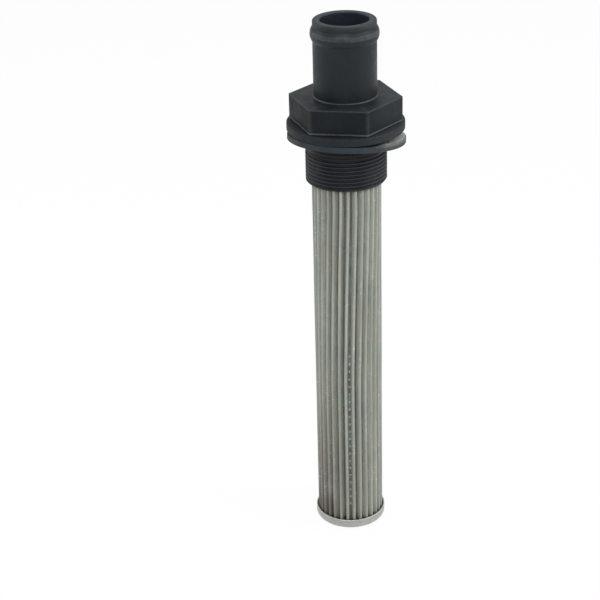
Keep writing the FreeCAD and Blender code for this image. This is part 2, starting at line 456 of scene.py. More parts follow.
@dataclass(frozen=True)
class Finish:
    """A finish: its material's name, and the record's slot that it stands for.

    In every finish a span is the two ends of a smooth change, a fade is the ends and the values
    that they give, and a grain is its scale per metre, its depth and its strength.
    """

    name: str
    slot: str

    def material(self) -> bpy.types.Material:
        """Builds the finish, in each kind's own way."""
        raise NotImplementedError


@dataclass(frozen=True)
class BlackMoulding(Finish):
    """Satin black moulding, blotched and grained, with paler edges of wear and painted highlight.
    """

    name: str = "black_moulding"
    slot: str = "black_moulding"
    dark: Colour = (0.0045, 0.0085, 0.0112)
    light: Colour = (0.0095, 0.0135, 0.0148)
    # worn: paler edge colour, partly rubbing and partly painted highlight
    worn: Colour = (0.103, 0.116, 0.1135)
    # bore: painted sheen, a lighter and bluer black for the bore's inside
    bore: Colour = (0.014, 0.0185, 0.027)
    bore_r: float = mount_size("suction_bore", "r_mm")
    bore_margin: Span = (0.4 * MM, 0.1 * MM)
    oiled: Colour = (0.0016, 0.0038, 0.0068)
    oiled_below: float = 18.9 * MM
    oiled_blend: float = 0.5 * MM
    oiled_cover: float = 0.85
    oiled_roughness: float = 0.22
    thread_span: Span = (-8.0 * MM, -6.0 * MM)
    right_side_light_fade: Fade = (16.0 * MM, 26.0 * MM, 0.0, 0.1)
    blotch_scale: float = 46.0
    wear_scale: float = 420.0
    roughness: Span = (0.42, 0.56)
    grain: Grain = (1900.0, 0.02 * MM, 0.5)
    specular: float = 0.27

    def material(self) -> bpy.types.Material:
        """Builds the finish."""
        skin = Surface(self.name)
        side, back, height = skin.parts(skin.place)
        blotch = skin.effect(SHELF.mottle, Scale=self.blotch_scale)
        body = skin.tint(blotch, self.dark, self.light)
        flat = skin.joined(side, back)
        reach = skin.add("ShaderNodeVectorMath", {0: flat}, operation="LENGTH").outputs["Value"]
        # painted sheen: the bore's inside is lighter and bluer than the moulding
        within = skin.ramp(reach, *(self.bore_r + margin for margin in self.bore_margin))
        body = skin.tint(within, body, self.bore)
        oiled_span = (self.oiled_below, self.oiled_below - self.oiled_blend)
        low = skin.ramp(height, *oiled_span, 0.0, self.oiled_cover)
        body = skin.tint(low, body, self.oiled)
        # painted light: the lower part is lighter towards the right side
        right_side_light = skin.times(skin.ramp(side, *self.right_side_light_fade), low)
        body = skin.tint(right_side_light, body, self.worn)
        soaked = skin.times(low, skin.ramp(height, *self.thread_span))
        dry = skin.ramp(blotch, 0.0, 1.0, *self.roughness)
        return skin.close({
            "Base Color": skin.tint(skin.edge_wear_and_highlight(self.wear_scale), body, self.worn),
            "Roughness": skin.maths("MULTIPLY_ADD", soaked, self.oiled_roughness, dry),
            "Specular IOR Level": self.specular,
            "Normal": skin.grained(*self.grain),
        })


@dataclass(frozen=True)
class GreyRubber(Finish):
    """Matt grey rubber, finely pitted, with painted light on its right side, top face and left
    end.
    """

    name: str = "grey_rubber"
    slot: str = "grey_rubber"
    dark: Colour = (0.0155, 0.0220, 0.0280)
    light: Colour = (0.028, 0.0365, 0.0425)
    painted_light_colour: Colour = (0.047, 0.052, 0.051)
    # worn: painted highlight colour for the top face at the right side
    worn: Colour = (0.45, 0.47, 0.46)
    painted_light_shift: float = 4.0 * MM
    painted_light_span: Span = (21.0 * MM, 30.0 * MM)
    painted_left_light_fade: Fade = (-19.0 * MM, -27.0 * MM, 0.0, 0.85)
    blotch_scale: float = 70.0
    wear_scale: float = 300.0
    roughness: Span = (0.62, 0.8)
    grain: Grain = (1400.0, 0.05 * MM, 0.6)
    specular: float = 0.3

    def material(self) -> bpy.types.Material:
        """Builds the finish."""
        skin = Surface(self.name)
        blotch = skin.effect(SHELF.mottle, Scale=self.blotch_scale)
        body = skin.tint(blotch, self.dark, self.light)
        side = skin.maths("MULTIPLY_ADD", blotch, self.painted_light_shift, skin.parts(skin.place)[0])
        # painted light: lighter towards the right side, with a broken edge
        painted_right_light = skin.ramp(side, *self.painted_light_span)
        body = skin.tint(painted_right_light, body, self.painted_light_colour)
        # painted light: lighter towards the left end
        body = skin.tint(skin.ramp(side, *self.painted_left_light_fade), body, self.painted_light_colour)
        # painted highlight: the top face and upper outer edge, only at the right side
        edge_wear_and_highlight = skin.times(skin.edge_wear_and_highlight(self.wear_scale), painted_right_light)
        return skin.close({
            "Base Color": skin.tint(edge_wear_and_highlight, body, self.worn),
            "Roughness": skin.ramp(blotch, 0.0, 1.0, *self.roughness),
            "Specular IOR Level": self.specular,
            "Normal": skin.grained(*self.grain),
        })


@dataclass(frozen=True)
class WireCloth(Finish):
    """Woven stainless wire, with its weave, long streaks and brownish oil stains, painted fill
    light in its valleys and on its right side, and painted shade at its roots and lower left foot.

    The fades that end in "crest" run from a pleat's root at 0 to its crest at 1, those that end
    in "side" run across the screen, and those that end in "height" run up it.
    """

    name: str = "wire_cloth"
    slot: str = "wire_cloth"
    bright: Colour = (0.375, 0.39, 0.345)
    dull: Colour = (0.285, 0.295, 0.255)
    # fold: painted fill light in the valleys and flanks, where shade falls
    fold: Colour = (0.50, 0.51, 0.455)
    # painted light: lighter colour for the valleys on the right side
    right_fill_light: Colour = (0.62, 0.635, 0.575)
    # root: painted shade at the pleats' roots
    root: Colour = (0.11, 0.112, 0.10)
    cool: Colour = (0.255, 0.315, 0.295)
    stain: Colour = (0.136, 0.121, 0.099)
    glint: Colour = (0.80, 0.83, 0.80)
    gap: Colour = (0.16, 0.16, 0.145)
    valley_fill_crest: Fade = (0.45, 1.0, 0.8, 0.0)
    right_fill_crest: Fade = (0.3, 0.85, 1.0, 0.0)
    right_fill_side: Fade = (6.0 * MM, 14.0 * MM, 0.0, 0.65)
    cool_scale: float = 61.0
    cool_fade: Fade = (0.35, 1.0, 0.0, 0.45)
    root_shade_crest: Fade = (0.02, 0.30, 0.74, 0.0)
    root_shade_side: Fade = (6.0 * MM, 14.0 * MM, 1.0, 0.2)
    stain_scale: float = 38.0
    stain_fade: Fade = (0.0, 0.8, 0.35, 1.0)
    stain_side: Fade = (-13.0 * MM, 2.0 * MM, 1.0, 0.1)
    stain_height: Fade = (-250.0 * MM, -150.0 * MM, 0.7, 0.1)
    foot_shade_side: Fade = (-10.0 * MM, -3.0 * MM, 1.0, 0.05)
    foot_shade_height: Fade = (-228.0 * MM, -252.0 * MM, 0.0, 0.95)
    glint_scale: float = 420.0
    streak_scale: float = 330.0
    streak_stretch: float = 0.045
    pitch: float = 0.42 * MM
    gap_cover: float = 0.6
    weave_depth: float = 0.09 * MM
    weave_strength: float = 0.55
    roughness: Span = (0.55, 0.42)
    metallic: float = 0.12

    def material(self) -> bpy.types.Material:
        """Builds the finish."""
        skin = Surface(self.name)
        cloth = skin.add("ShaderNodeUVMap", uv_map="cloth").outputs[0]
        side, _, height = skin.parts(skin.place)
        crest = skin.mark("crest")
        streak = skin.effect(
            SHELF.streaks, Scale=self.streak_scale, Stretch=self.streak_stretch
        )
        body = skin.tint(streak, self.dull, self.bright)
        # painted fill light: valleys and flanks lighter, crests left as they are
        body = skin.tint(skin.ramp(crest, *self.valley_fill_crest), body, self.fold)
        # painted light: valleys on the right side lighter, as lit from the right
        right_fill = skin.times(skin.ramp(side, *self.right_fill_side), skin.ramp(crest, *self.right_fill_crest))
        body = skin.tint(right_fill, body, self.right_fill_light)
        cool = skin.effect(SHELF.mottle, Scale=self.cool_scale)
        body = skin.tint(skin.ramp(cool, *self.cool_fade), body, self.cool)
        # painted shade: darker at the roots, less on the right side
        root_shade_mask = skin.times(skin.ramp(crest, *self.root_shade_crest), skin.ramp(side, *self.root_shade_side))
        body = skin.tint(root_shade_mask, body, self.root)
        blotch = skin.effect(SHELF.mottle, Scale=self.stain_scale)
        beside = skin.ramp(side, *self.stain_side)
        patch = skin.times(skin.ramp(blotch, *self.stain_fade), beside)
        stained = skin.times(patch, skin.ramp(height, *self.stain_height))
        # painted shade: a band at the screen's foot on its left side, next to the cap, in the
        # stains' colour
        foot = skin.times(skin.ramp(height, *self.foot_shade_height), skin.ramp(side, *self.foot_shade_side))
        body = skin.tint(skin.maths("MAXIMUM", stained, foot), body, self.stain)
        glint = skin.group(SHELF.glints, Cloth=cloth, Scale=self.glint_scale).outputs[0]
        body = skin.tint(glint, body, self.glint)
        weave = skin.group(SHELF.plain_weave, Cloth=cloth, Pitch=self.pitch).outputs
        open_gap = skin.times(weave["Gap"], self.gap_cover)
        return skin.close({
            "Base Color": skin.tint(open_gap, body, self.gap),
            "Roughness": skin.ramp(streak, 0.0, 1.0, *self.roughness),
            "Metallic": self.metallic,
            "Normal": skin.bump(weave["Height"], self.weave_depth, self.weave_strength),
        })


@dataclass(frozen=True)
class PressedSteel(Finish):
    """Lightly plated sheet steel, dulled by handling, with faint draw marks."""

    name: str = "cap_steel"
    slot: str = "cap_steel"
    bright: Colour = (0.42, 0.43, 0.39)
    dull: Colour = (0.29, 0.295, 0.27)
    worn: Colour = (0.56, 0.56, 0.53)
    blotch_scale: float = 60.0
    streak_scale: float = 500.0
    streak_stretch: float = 0.25
    streak_share: float = 0.35
    wear_scale: float = 260.0
    roughness: Span = (0.36, 0.5)
    grain: Grain = (1500.0, 0.02 * MM, 0.4)
    metallic: float = 0.6

    def material(self) -> bpy.types.Material:
        """Builds the finish."""
        skin = Surface(self.name)
        blotch = skin.effect(SHELF.mottle, Scale=self.blotch_scale)
        streak = skin.effect(
            SHELF.streaks, Scale=self.streak_scale, Stretch=self.streak_stretch
        )
        mixed = skin.share(blotch, streak, self.streak_share)
        body = skin.tint(mixed, self.dull, self.bright)
        return skin.close({
            "Base Color": skin.tint(skin.edge_wear_and_highlight(self.wear_scale), body, self.worn),
            "Roughness": skin.ramp(mixed, 0.0, 1.0, *self.roughness),
            "Metallic": self.metallic,
            "Normal": skin.grained(*self.grain),
        })


@dataclass(frozen=True)
class DarkResin(Finish):
    """Set potting resin, dark and a little glossy, with small pits."""

    name: str = "dark_adhesive"
    slot: str = "dark_adhesive"
    dark: Colour = (0.030, 0.031, 0.028)
    light: Colour = (0.066, 0.066, 0.058)
    blotch_scale: float = 160.0
    roughness: Span = (0.25, 0.45)
    grain: Grain = (900.0, 0.08 * MM, 0.5)

    def material(self) -> bpy.types.Material:
        """Builds the finish."""
        skin = Surface(self.name)
        blotch = skin.effect(SHELF.mottle, Scale=self.blotch_scale)
        return skin.close({
            "Base Color": skin.tint(blotch, self.dark, self.light),
            "Roughness": skin.ramp(blotch, 0.0, 1.0, *self.roughness),
            "Normal": skin.grained(*self.grain),
        })


def make_piece(
    name: str, shell: Bmesh, finish: Finish, node: str = "", sharp_angle: float = 38.0
) -> bpy.types.Object:
    """Turns a finished bmesh into a piece that rides on the object's one body.

    Args:
        name: The piece's name.
        shell: The finished shape, which is freed.
        finish: The piece's finish.
        node: Name of the CAD node that the piece replaces, if there is one.
        sharp_angle: Degrees between faces from which an edge is drawn sharp.

    Returns:
        The new object.
    """
    mesh = bpy.data.meshes.new(name)
    shell.to_mesh(mesh)
    shell.free()
    mesh.shade_smooth()
    mesh.set_sharp_from_angle(angle=math.radians(sharp_angle))
    mesh.materials.append(finish.material())
    piece = bpy.data.objects.new(name, mesh)
    bpy.context.scene.collection.objects.link(piece)
    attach(piece, BODY)
    if node:
        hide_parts(node)
    LOG.info("%s: %d faces", name, len(mesh.polygons))
    return piece


@dataclass
class MouldedFitting:
    """Black moulding in one piece: hose tail, hexagon, flange and threaded spigot.

    A wear is how strongly an edge is painted paler, partly as rubbing and partly as painted
    highlight. Each of the bead's arcs has its two ends, as shares of the bead's bend, its number
    of faces and its wear.
    """

    finish: BlackMoulding = BlackMoulding()
    thread_r: float = mount_size("tank_thread", "r_mm")
    bore_r: float = mount_size("suction_bore", "r_mm")
    thread_pitch: float = 25.4 * MM / 11
    thread_depth: float = 1.479 * MM
    thread_fill: float = 0.42
    thread_chamfer: float = 0.45 * MM
    flank_span: Span = (0.14, 0.86)
    straight_flank: float = 0.35
    crest_share: float = 0.2
    run_out_depth: float = 0.5 * MM
    run_out_end: float = 12.62 * MM
    relief_length: float = 2.4 * MM
    socket_wall: float = 1.42 * MM
    socket_depth: float = 17.4 * MM
    socket_chamfer: float = 0.4 * MM
    flange_thickness: float = 4.4 * MM
    flange_round: float = 0.8 * MM
    flange_under_round: float = 0.25 * MM
    neck_height: float = 0.15 * MM
    neck_undercut: float = 0.7 * MM
    hex_across_flats: float = 57.4 * MM
    hex_height: float = 14.75 * MM
    hex_corner_round: float = 1.3 * MM
    hex_edge_round: float = 0.38 * MM
    hex_foot_round: float = 0.5 * MM
    tail_wall: float = 4.2 * MM
    tail_rim_round: float = 1.1 * MM
    tail_bore_round: float = 0.7 * MM
    tail_foot_round: float = 0.7 * MM
    bead_height: float = 1.45 * MM
    bead_below_rim: float = 8.0 * MM
    bead_length: float = 4.3 * MM
    bead_foot: float = 0.07 * MM
    bead_bend: float = 0.9
    # painted highlight: the middle arc's wear is a pale band on the bead's upper slope
    bead_arcs: tuple[tuple[float, float, int, float], ...] = (
        (1.0, 0.7, 3, 0.08), (0.58, 0.04, 5, 0.44), (-0.1, -1.0, 8, 0.04)
    )
    mouth_wear: float = 0.25
    rim_wear: float = 0.19
    tail_foot_highlight: float = 0.64
    hex_top_wear: float = 0.2
    hex_foot_highlight: float = 1.3
    flange_wear: float = 0.13
    crest_highlight: float = 0.28
    corner_wear: float = 0.18
    front_wear_and_highlight: float = 0.5
    side_wear_and_highlight: float = 0.58
    support: float = 0.45 * MM
    columns_per_side: int = 40
    corner_columns: int = 5
    rings_per_turn: int = 14

    def __post_init__(self) -> None:
        """Works out the places that follow from the frame and the sizes."""
        low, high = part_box("fitting_body")
        self.spigot_end = low.z
        self.tail_top = high.z
        self.flange_r = high.x
        self.thread_root_r = self.thread_r - self.thread_depth
        self.socket_r = self.thread_root_r - self.socket_wall
        self.socket_ceiling = self.spigot_end + self.socket_depth
        self.hex_bottom = self.flange_thickness + self.neck_height
        self.hex_top = self.hex_bottom + self.hex_height
        self.apothem = self.hex_across_flats / 2
        self.tail_r = self.bore_r + self.tail_wall
        self.columns = 6 * self.columns_per_side

    def bead_rings(self) -> list[Ring]:
        """Rings of the bead, with the tail's wall just above and below it."""
        radius = (self.bead_length ** 2 + self.bead_height ** 2) / (2 * self.bead_height)
        bend = math.degrees(math.asin(self.bead_length / radius)) * self.bead_bend
        middle = self.tail_top - self.bead_below_rim
        centre = (self.tail_r + self.bead_height - radius, middle)
        rings = [
            Ring(self.tail_r, middle + self.bead_length + self.support),
            Ring(self.tail_r + self.bead_foot, middle + self.bead_length),
        ]
        for start, end, steps, wear in self.bead_arcs:
            rings += arc_rings(centre, radius, bend * start, bend * end, steps, edge=wear)
        return [
            *rings,
            Ring(self.tail_r + self.bead_foot, middle - self.bead_length),
            Ring(self.tail_r, middle - self.bead_length - self.support),
        ]

    def tail_rings(self) -> list[Ring]:
        """Rings from the bore's lower end over the rim and the bead to the tail's foot."""
        mouth = (self.bore_r + self.tail_bore_round, self.tail_top - self.tail_bore_round)
        rim = (self.tail_r - self.tail_rim_round, self.tail_top - self.tail_rim_round)
        foot = (self.tail_r + self.tail_foot_round, self.hex_top + self.tail_foot_round)
        return [
            Ring(self.bore_r, self.socket_ceiling),
            Ring(self.bore_r, mouth[1] - self.support),
            *arc_rings(mouth, self.tail_bore_round, 180, 90, 4, edge=self.mouth_wear),
            *arc_rings(rim, self.tail_rim_round, 90, 12, 6, edge=self.rim_wear),
            *self.bead_rings(),
            Ring(self.tail_r, foot[1] + self.support),
            # painted highlight: a pale line along the fillet at the tail's foot
            *arc_rings(foot, self.tail_foot_round, 180, 215, 3, edge=self.tail_foot_highlight),
            *arc_rings(foot, self.tail_foot_round, 240, 270, 2),
            Ring(foot[0] + self.support, self.hex_top),
        ]

    def hexagon_rings(self) -> list[Ring]:
        """Rings of the hexagon, whose radius is the distance from the axis to a flat."""
        kind = RingKind.HEXAGON
        upper = (self.apothem - self.hex_edge_round, self.hex_top - self.hex_edge_round)
        lower = (self.apothem - self.hex_foot_round, self.hex_bottom + self.hex_foot_round)
        # painted highlight: a pale line along the hexagon's lower edge
        worn = self.hex_foot_highlight
        return [
            Ring(upper[0] - self.support, self.hex_top, kind),
            *arc_rings(upper, self.hex_edge_round, 90, 0, 3, kind, self.hex_top_wear),
            Ring(self.apothem, upper[1] - self.support, kind),
            Ring(self.apothem, lower[1] + 2 * self.support, kind),
            Ring(self.apothem, lower[1] + self.support, kind, worn),
            *arc_rings(lower, self.hex_foot_round, 0, -90, 4, kind, worn),
            Ring(lower[0] - self.support, self.hex_bottom, kind),
        ]

    def flange_rings(self) -> list[Ring]:
        """Rings of the neck and the flange, down to its underside."""
        soft = self.flange_round
        under = self.flange_under_round
        neck_r = self.apothem - self.neck_undercut
        upper = (self.flange_r - soft, self.flange_thickness - soft)
        return [
            Ring(neck_r, self.hex_bottom),
            Ring(neck_r, self.flange_thickness),
            *arc_rings(upper, soft, 90, 0, 6, edge=self.flange_wear),
            *arc_rings((self.flange_r - under, under), under, 0, -90, 4, edge=self.flange_wear),
            Ring(self.thread_root_r, 0),
        ]

    def thread_rings(self) -> list[Ring]:
        """Rings of the relief and the thread, down to the spigot's end."""
        start = -self.relief_length
        length = start - self.spigot_end
        count = math.ceil(length / self.thread_pitch * self.rings_per_turn)
        heights = [start - length * step / count for step in range(count + 1)]
        turns = [Ring(self.thread_r, height, RingKind.THREAD) for height in heights]
        return [Ring(self.thread_root_r, start / 2), *turns]

    def socket_rings(self) -> list[Ring]:
        """Rings of the socket, up to its ceiling."""
        return [
            Ring(self.socket_r + self.socket_chamfer, self.spigot_end),
            Ring(self.socket_r, self.spigot_end + self.socket_chamfer),
            Ring(self.socket_r, self.socket_ceiling),
        ]

    def hexagon_place(self, side: int, step: int, apothem: float) -> Vector:
        """Place of a vertex on the rounded hexagon, as seen from above.

        Args:
            side: Number of the corner next to it, counted from +X.
            step: The vertex's column, counted from that corner.
            apothem: Distance from the axis to a flat.

        Returns:
            The place, with no height.
        """
        slant = HEX_TURN / 2
        corner_round = self.hex_corner_round - (self.apothem - apothem)
        corner_round = max(corner_round, self.hex_corner_round / 3)
        centre = Vector(((apothem - corner_round) / math.cos(slant), 0))
        turn = math.copysign(slant * min(abs(step) / self.corner_columns, 1.0), step)
        place = centre + around(turn, corner_round)
        past_corner = abs(step) - self.corner_columns
        if past_corner > 0:
            flat_columns = self.columns_per_side / 2 - self.corner_columns
            place = place.lerp(around(turn, apothem), past_corner / flat_columns)
        return Matrix.Rotation(HEX_TURN * side, 2) @ place

    def thread_radius(self, angle: float, height: float) -> float:
        """Radius of the right-hand thread at one place, run out at both ends.

        Args:
            angle: Angle round the axis, in radians.
            height: Height of the place.

        Returns:
            The radius of the thread's surface there.
        """
        turns = height / self.thread_pitch - angle / math.tau
        ridge = abs(2 * (turns - math.floor(turns)) - 1)
        start, end = self.flank_span
        flank = clamped((ridge - start) / (end - start))
        rounded = flank * flank * (3 - 2 * flank)
        rise = self.straight_flank * flank + (1 - self.straight_flank) * rounded
        share = self.thread_fill + (1 - self.thread_fill) * rise
        crest = self.thread_root_r + self.thread_depth * share
        run_in = self.thread_root_r + max(0.0, -self.relief_length - height)
        run_out = self.thread_r - self.run_out_depth + max(0.0, -self.run_out_end - height)
        chamfer = self.thread_r - max(0.0, self.spigot_end + self.thread_chamfer - height)
        return min(crest, run_in, run_out, chamfer)

    def shape(self, shell: Bmesh, rings: list[Ring]) -> None:
        """Moves the turned vertices onto the hexagon and the thread, and sets their wear and
        painted highlight.

        Args:
            shell: The turned fitting.
            rings: The section that it was turned from.
        """
        ring_layer = shell.verts.layers.int["ring"]
        edge_layer = shell.verts.layers.float["edge"]
        for vert in shell.verts:
            ring = rings[vert[ring_layer]]
            angle = angle_of(vert.co)
            wear = vert[edge_layer]
            if ring.kind is RingKind.HEXAGON:
                column = round(angle / math.tau * self.columns)
                side = round(column / self.columns_per_side)
                step = column - side * self.columns_per_side
                vert.co.xy = self.hexagon_place(side, step, ring.radius)
                if abs(step) <= self.corner_columns:
                    wear = max(wear, self.corner_wear)
            elif ring.kind is RingKind.THREAD:
                radius = self.thread_radius(angle, ring.height)
                # painted highlight: pale lines along the thread's crests
                crest = (radius - self.thread_r) / (self.thread_depth * self.crest_share) + 1
                wear = self.crest_highlight * clamped(crest)
                vert.co.xy = around(angle, radius)
            # painted highlight: edge marks are paler at the left and right sides than at the front
            share = self.front_wear_and_highlight + self.side_wear_and_highlight * abs(math.cos(angle))
            vert[edge_layer] = min(1.0, wear * share)

    def build(self) -> None:
        """Builds the fitting, which stands for its node."""
        rings = [
            *self.tail_rings(), *self.hexagon_rings(), *self.flange_rings(),
            *self.thread_rings(), *self.socket_rings(),
        ]
        shell = turn_section(rings, self.columns, closed=True)
        self.shape(shell, rings)
        make_piece("moulded_fitting", shell, self.finish, "fitting_body")


@dataclass
class RubberWasher:
    """Flat washer, loose round the thread, tilted so that it hangs low at the back."""

    finish: GreyRubber = GreyRubber()
    thickness: float = 3.5 * MM
    bore_r: float = 24.8 * MM
    outer_r: float = 34.52 * MM
    edge_round: float = 0.5 * MM
    tilt: float = math.radians(7.5)
    low_side: float = math.radians(80.5)
    shift: float = 0.45 * MM
    shift_side: float = math.radians(8.0)
    seat_gap: float = 0.05 * MM
    sag: float = 0.1 * MM
    lift: float = 0.6 * MM
    lift_side: float = math.radians(-165.0)
    # painted highlight: the top face and upper outer edge are painted paler
    outer_highlight: float = 0.2
    top_highlight: float = 1.0
    columns: int = 200

    def rings(self) -> list[Ring]:
        """Section of the washer, lying with its top at height 0."""
        soft = self.edge_round
        inner = self.bore_r + soft
        outer = self.outer_r - soft
        bottom = soft - self.thickness
        return [
            *arc_rings((outer, bottom), soft, -90, 0, 4),
            Ring(self.outer_r - self.sag / 2, -self.thickness / 2),
            *arc_rings((outer, -soft), soft, 0, 90, 4, edge=self.outer_highlight),
            Ring(outer - soft, 0, edge=self.top_highlight),
            *arc_rings((inner, -soft), soft, 90, 180, 3, edge=self.top_highlight),
            *arc_rings((inner, bottom), soft, 180, 270, 3),
            Ring(outer - soft, -self.thickness),
        ]

    def build(self) -> None:
        """Builds the washer, which stands for its node."""
        shell = turn_section(self.rings(), self.columns, closed=True)
        for vert in shell.verts:
            vert.co.z -= self.sag * (1 - math.cos(2 * angle_of(vert.co))) / 2
        drop = self.outer_r * math.sin(self.tilt) + self.seat_gap
        beside = Matrix.Rotation(self.shift_side, 3, "Z") @ Vector((self.shift, 0, -drop))
        turned = Matrix.Rotation(self.low_side, 4, "Z") @ Matrix.Rotation(self.tilt, 4, "Y")
        bmesh.ops.transform(shell, matrix=Matrix.Translation(beside) @ turned, verts=shell.verts)
        for vert in shell.verts:
            away = math.cos(angle_of(vert.co) - self.lift_side)
            vert.co.z += self.lift * max(0.0, away) ** 3
        make_piece("rubber_washer", shell, self.finish, "sealing_washer")


@dataclass
class WireScreen:
    """Wire cloth folded into pleats, which twist and lean a little on their way down.

    The bare numbers among a wobble's coordinates set how fast it changes, and keep one
    unevenness apart from another.
    """

    finish: WireCloth = WireCloth()
    pleats: int = 30
    pleat_depth: float = 5.0 * MM
    outer_r: float = 20.55 * MM
    cloth: float = 0.36 * MM
    crest_fold: float = 0.66 * MM
    root_fold: float = 0.56 * MM
    seam_direction: float = math.radians(-81.6)
    twist: float = math.radians(8.2)
    twist_end: float = -157.2 * MM
    twist_margin: float = 30.0 * MM
    twist_bend: float = 0.25
    lean: float = math.radians(1.7)
    wander: float = math.radians(0.9)
    lean_gain: float = 1.6
    held_lean: float = 0.35
    foot_grip: float = 14.0
    head_grip: float = 10.0
    swell: float = 0.12 * MM
    swell_bias: float = 0.2
    root_swell: float = 3.0
    seam_share: float = 0.01
    sharp_angle: float = 80.0
    layers: int = 56
    fold_steps: int = 3
    flank_steps: int = 3

    def __post_init__(self) -> None:
        """Reads the screen's height from the frame."""
        low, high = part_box("pleated_mesh")
        self.bottom = low.z
        self.top = high.z

    def fold(self, centre: Vector, radius: float, start: float, end: float) -> list[Vector]:
        """Points of a fold's arc from one angle to another, ends included."""
        shares = (step / self.fold_steps for step in range(self.fold_steps + 1))
        return [centre + around(start + (end - start) * share, radius) for share in shares]

    def half_pleat(self) -> list[Vector]:
        """Middle of the cloth from the middle of a root to the middle of the next crest."""
        crest_centre_r = self.outer_r - self.crest_fold - self.cloth / 2
        root_centre_r = self.outer_r - self.pleat_depth + self.root_fold + self.cloth / 2
        half_pitch = math.pi / self.pleats
        root = Vector((root_centre_r, 0))
        crest = around(half_pitch, crest_centre_r)
        span = crest - root
        swing = math.asin((self.crest_fold + self.root_fold) / span.length)
        beside = angle_of(span) - swing - math.pi / 2
        root_arc = self.fold(root, self.root_fold, math.pi, beside + math.pi)
        crest_arc = self.fold(crest, self.crest_fold, beside, half_pitch)
        shares = (step / self.flank_steps for step in range(1, self.flank_steps))
        flank = [root_arc[-1].lerp(crest_arc[0], share) for share in shares]
        return root_arc + flank + crest_arc

    def fold_ring(self) -> tuple[Bmesh, float]:
        """Folds one closed ring of cloth at the screen's lower end.

        Returns:
            The ring, whose vertices carry the layer "length", and the length of a pleat.
        """
        ring = bmesh.new()
        length_layer = ring.verts.layers.float.new("length")
        half = self.half_pleat()
        mirror = Matrix.Rotation(math.tau / self.pleats, 2) @ Matrix(((1, 0), (0, -1)))
        whole = half + [mirror @ point for point in reversed(half[:-1])]
        verts = []
        run = 0.0
        for index, point in enumerate(whole):
            if index:
                run += (point - whole[index - 1]).length
            vert = ring.verts.new((point.x, point.y, self.bottom))
            vert[length_layer] = run
            verts.append(vert)
        edges = [ring.edges.new(pair) for pair in zip(verts, verts[1:])]
        bmesh.ops.spin(
            ring, geom=verts + edges, cent=(0, 0, 0), axis=(0, 0, 1), angle=math.tau,
            steps=self.pleats, use_duplicate=True,
        )
        bmesh.ops.remove_doubles(ring, verts=ring.verts, dist=WELD)
        return ring, run

    def leaning(self, pleat: int, share: float) -> float:
        """How far a pleat's crest leans to one side, in radians, at a share of the height."""
        steady = wobble(pleat * 7.31, 3.7, 1.9)
        slow = wobble(pleat * 5.17, 11.3, share * 2.2)
        return self.lean_gain * (self.lean * steady + self.wander * slow)

    def twist_at(self, height: float) -> float:
        """Turn of the pleats at a height, which only their upper part has."""
        span = self.top - self.twist_end - self.twist_margin
        share = clamped((height - self.twist_end) / span)
        return self.twist * share * (1 - self.twist_bend + self.twist_bend * share)

    def crease(self, shell: Bmesh) -> None:
        """Gives the straight pleats their twist, their leans and their uneven depth.

        Args:
            shell: The extruded cloth.
        """
        root_r = self.outer_r - self.pleat_depth + self.cloth / 2
        crest_r = self.outer_r - self.cloth / 2
        crest_layer = shell.verts.layers.float.new("crest")
        for vert in shell.verts:
            radius = vert.co.xy.length
            angle = angle_of(vert.co) % math.tau
            out = clamped((radius - root_r) / (crest_r - root_r))
            vert[crest_layer] = out
            pitches = angle / math.tau * self.pleats
            pleat = math.floor(pitches)
            share = (vert.co.z - self.bottom) / (self.top - self.bottom)
            free = min(1.0, self.foot_grip * share, self.head_grip * (1 - share))
            held = self.held_lean + (1 - self.held_lean) * free
            turn = self.leaning(pleat, share) * out * out * held
            depth = wobble(pleat * 3.31, 8.1, share * 3.0)
            radius -= self.swell * max(0.0, depth + self.swell_bias) * out * free
            inner = wobble(round(pitches) % self.pleats * 2.7, 4.4, share * 2.5)
            radius += self.root_swell * self.swell * max(0.0, inner) * (1 - out) * free
            angle += turn + self.seam_direction + self.twist_at(vert.co.z)
            vert.co.xy = around(angle, radius)

    def lay_out_cloth(self, shell: Bmesh, pleat_length: float) -> None:
        """Writes the UV map: metres along the folded cloth and metres up it.

        Args:
            shell: The straight extruded cloth, before it is creased.
            pleat_length: Length of cloth in one pleat.
        """
        length_layer = shell.verts.layers.float["length"]
        cloth_map = shell.loops.layers.uv.new("cloth")
        near = pleat_length * self.seam_share
        for face in shell.faces:
            pitches = angle_of(face.calc_center_median()) % math.tau / math.tau * self.pleats
            pleat = math.floor(pitches)
            for loop in face.loops:
                run = loop.vert[length_layer]
                if run < near and pitches - pleat > 0.5:
                    run = pleat_length
                elif run > pleat_length - near and pitches - pleat < 0.5:
                    run = 0.0
                loop[cloth_map].uv = (pleat * pleat_length + run, loop.vert.co.z - self.bottom)

    def build(self) -> None:
        """Builds the screen's pleated cloth, which stands for its node."""
        shell, pleat_length = self.fold_ring()
        front = list(shell.edges)
        step = (self.top - self.bottom) / self.layers
        for _ in range(self.layers):
            made = bmesh.ops.extrude_edge_only(shell, edges=front)["geom"]
            rising = [item for item in made if isinstance(item, bmesh.types.BMVert)]
            bmesh.ops.translate(shell, vec=(0, 0, step), verts=rising)
            edges = [item for item in made if isinstance(item, bmesh.types.BMEdge)]
            front = [edge for edge in edges if abs(edge.verts[0].co.z - edge.verts[1].co.z) < WELD]
        bmesh.ops.recalc_face_normals(shell, faces=shell.faces)
        self.lay_out_cloth(shell, pleat_length)
        self.crease(shell)
        piece = make_piece(
            "pleated_screen", shell, self.finish, "pleated_mesh", self.sharp_angle
        )
        wall = piece.modifiers.new("cloth", "SOLIDIFY")
        wall.thickness = self.cloth
        wall.offset = 0.0


